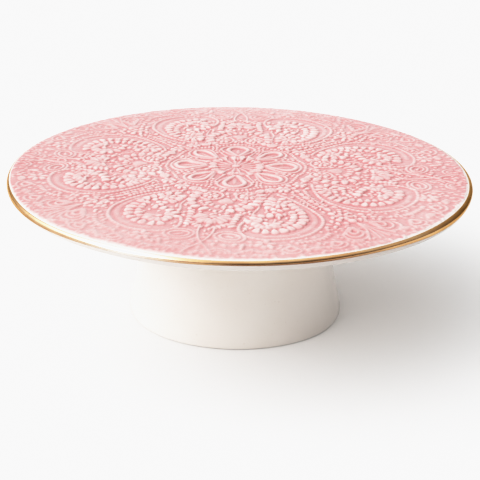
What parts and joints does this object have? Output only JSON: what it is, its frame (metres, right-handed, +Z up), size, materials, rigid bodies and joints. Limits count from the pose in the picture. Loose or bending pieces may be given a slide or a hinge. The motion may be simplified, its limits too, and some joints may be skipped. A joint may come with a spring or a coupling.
{
  "type": "cake stand",
  "caption": "Round pedestal cake stand in glazed stoneware: flat plate with a pink lace relief, gold lustre edge and a hollow white cone pedestal.",
  "frame": {"origin": "centre of the foot's contact plane, where the stand rests on a table", "axes": "+Z up along the stand's axis of revolution; X and Y are level and interchangeable, -Y towards the viewer"},
  "size_m": [0.28, 0.28, 0.091],
  "materials": {
    "white_glaze": "glossy clear glaze over white clay",
    "pink_glaze": "glossy translucent pink glaze pooled in a pressed relief",
    "gold_lustre": "fired gold lustre over glaze, mirror-like",
    "bare_clay": "unglazed, wiped"
  },
  "bodies": {
    "root": {"plate": "white_glaze", "lace_relief": "pink_glaze", "gold_rim": "gold_lustre", "slip_joint": "white_glaze", "luting_coil": "white_glaze", "pedestal": "white_glaze", "foot_ring": "bare_clay"}
  },
  "joints": []
}
